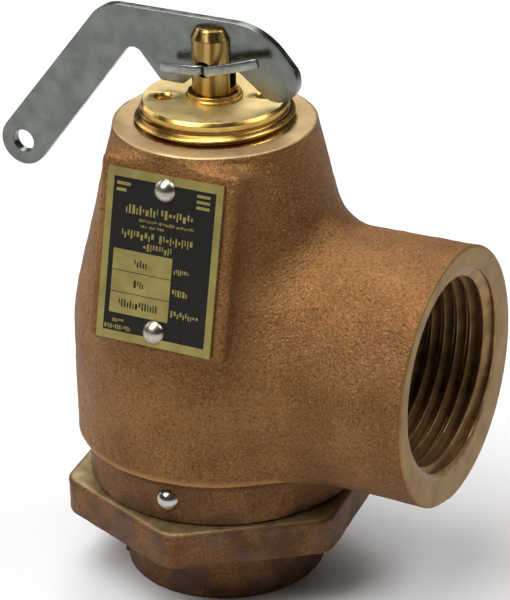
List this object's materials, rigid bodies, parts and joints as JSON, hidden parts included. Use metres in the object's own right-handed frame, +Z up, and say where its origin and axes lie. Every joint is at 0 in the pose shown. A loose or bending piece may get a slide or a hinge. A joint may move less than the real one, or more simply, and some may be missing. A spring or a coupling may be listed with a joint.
{
  "type": "pressure relief valve",
  "caption": "Angle-pattern bronze safety relief valve: threaded inlet below, larger threaded outlet at the side, spring-loaded disc, brass adjusting cap and hand lifting lever.",
  "frame": {"origin": "centre of the inlet's lower face, on the valve's axis", "axes": "+Z up along the stem, +X out of the side outlet, -Y the side with the name plate"},
  "size_m": [0.08, 0.0516, 0.0944],
  "materials": {
    "cast_bronze": "sand-cast bronze, dull, with machined faces",
    "machined_brass": "turned and bright",
    "plated_steel": "zinc plated, semi-gloss",
    "pin_steel": "bright",
    "spring_steel": "stainless wire",
    "plate": "etched, black field on olive-gold metal",
    "seal_rubber": "matt",
    "gasket_fibre": "matt"
  },
  "bodies": {
    "body": {"body_casting": "cast_bronze", "base_casting": "cast_bronze", "base_lock_pin": "pin_steel", "name_plate": "plate", "plate_rivets": "pin_steel", "adjusting_cap": "machined_brass", "stem_bushing": "machined_brass", "upper_spring_step": "plated_steel", "spring": "spring_steel", "disc_guide": "machined_brass", "guide_gasket": "gasket_fibre"},
    "stem": {"stem": "machined_brass", "stem_roll_pin": "pin_steel", "disc_holder": "machined_brass", "seat_disc": "seal_rubber", "seat_retainer": "pin_steel", "retainer_screw": "pin_steel", "lower_spring_step": "plated_steel", "cotter_pin": "pin_steel"},
    "lever": {"lever": "plated_steel"}
  },
  "joints": [
    {"name": "stem_lift", "type": "slide", "parent": "body", "child": "stem", "axis": [0, 0, 1], "range_m": [0, 0.0039], "stiffness_N_per_m": 15000, "springref_m": -0.0052, "deforming": ["spring"]},
    {"name": "lever_swing", "type": "hinge", "parent": "stem", "child": "lever", "pos_m": [0, 0, 0.087], "axis": [0, 1, 0], "range_deg": [0, 25]}
  ],
  "couplings": [
    {"joint": "lever_swing", "follows": "stem_lift", "rad_per_m": 111.8}
  ]
}
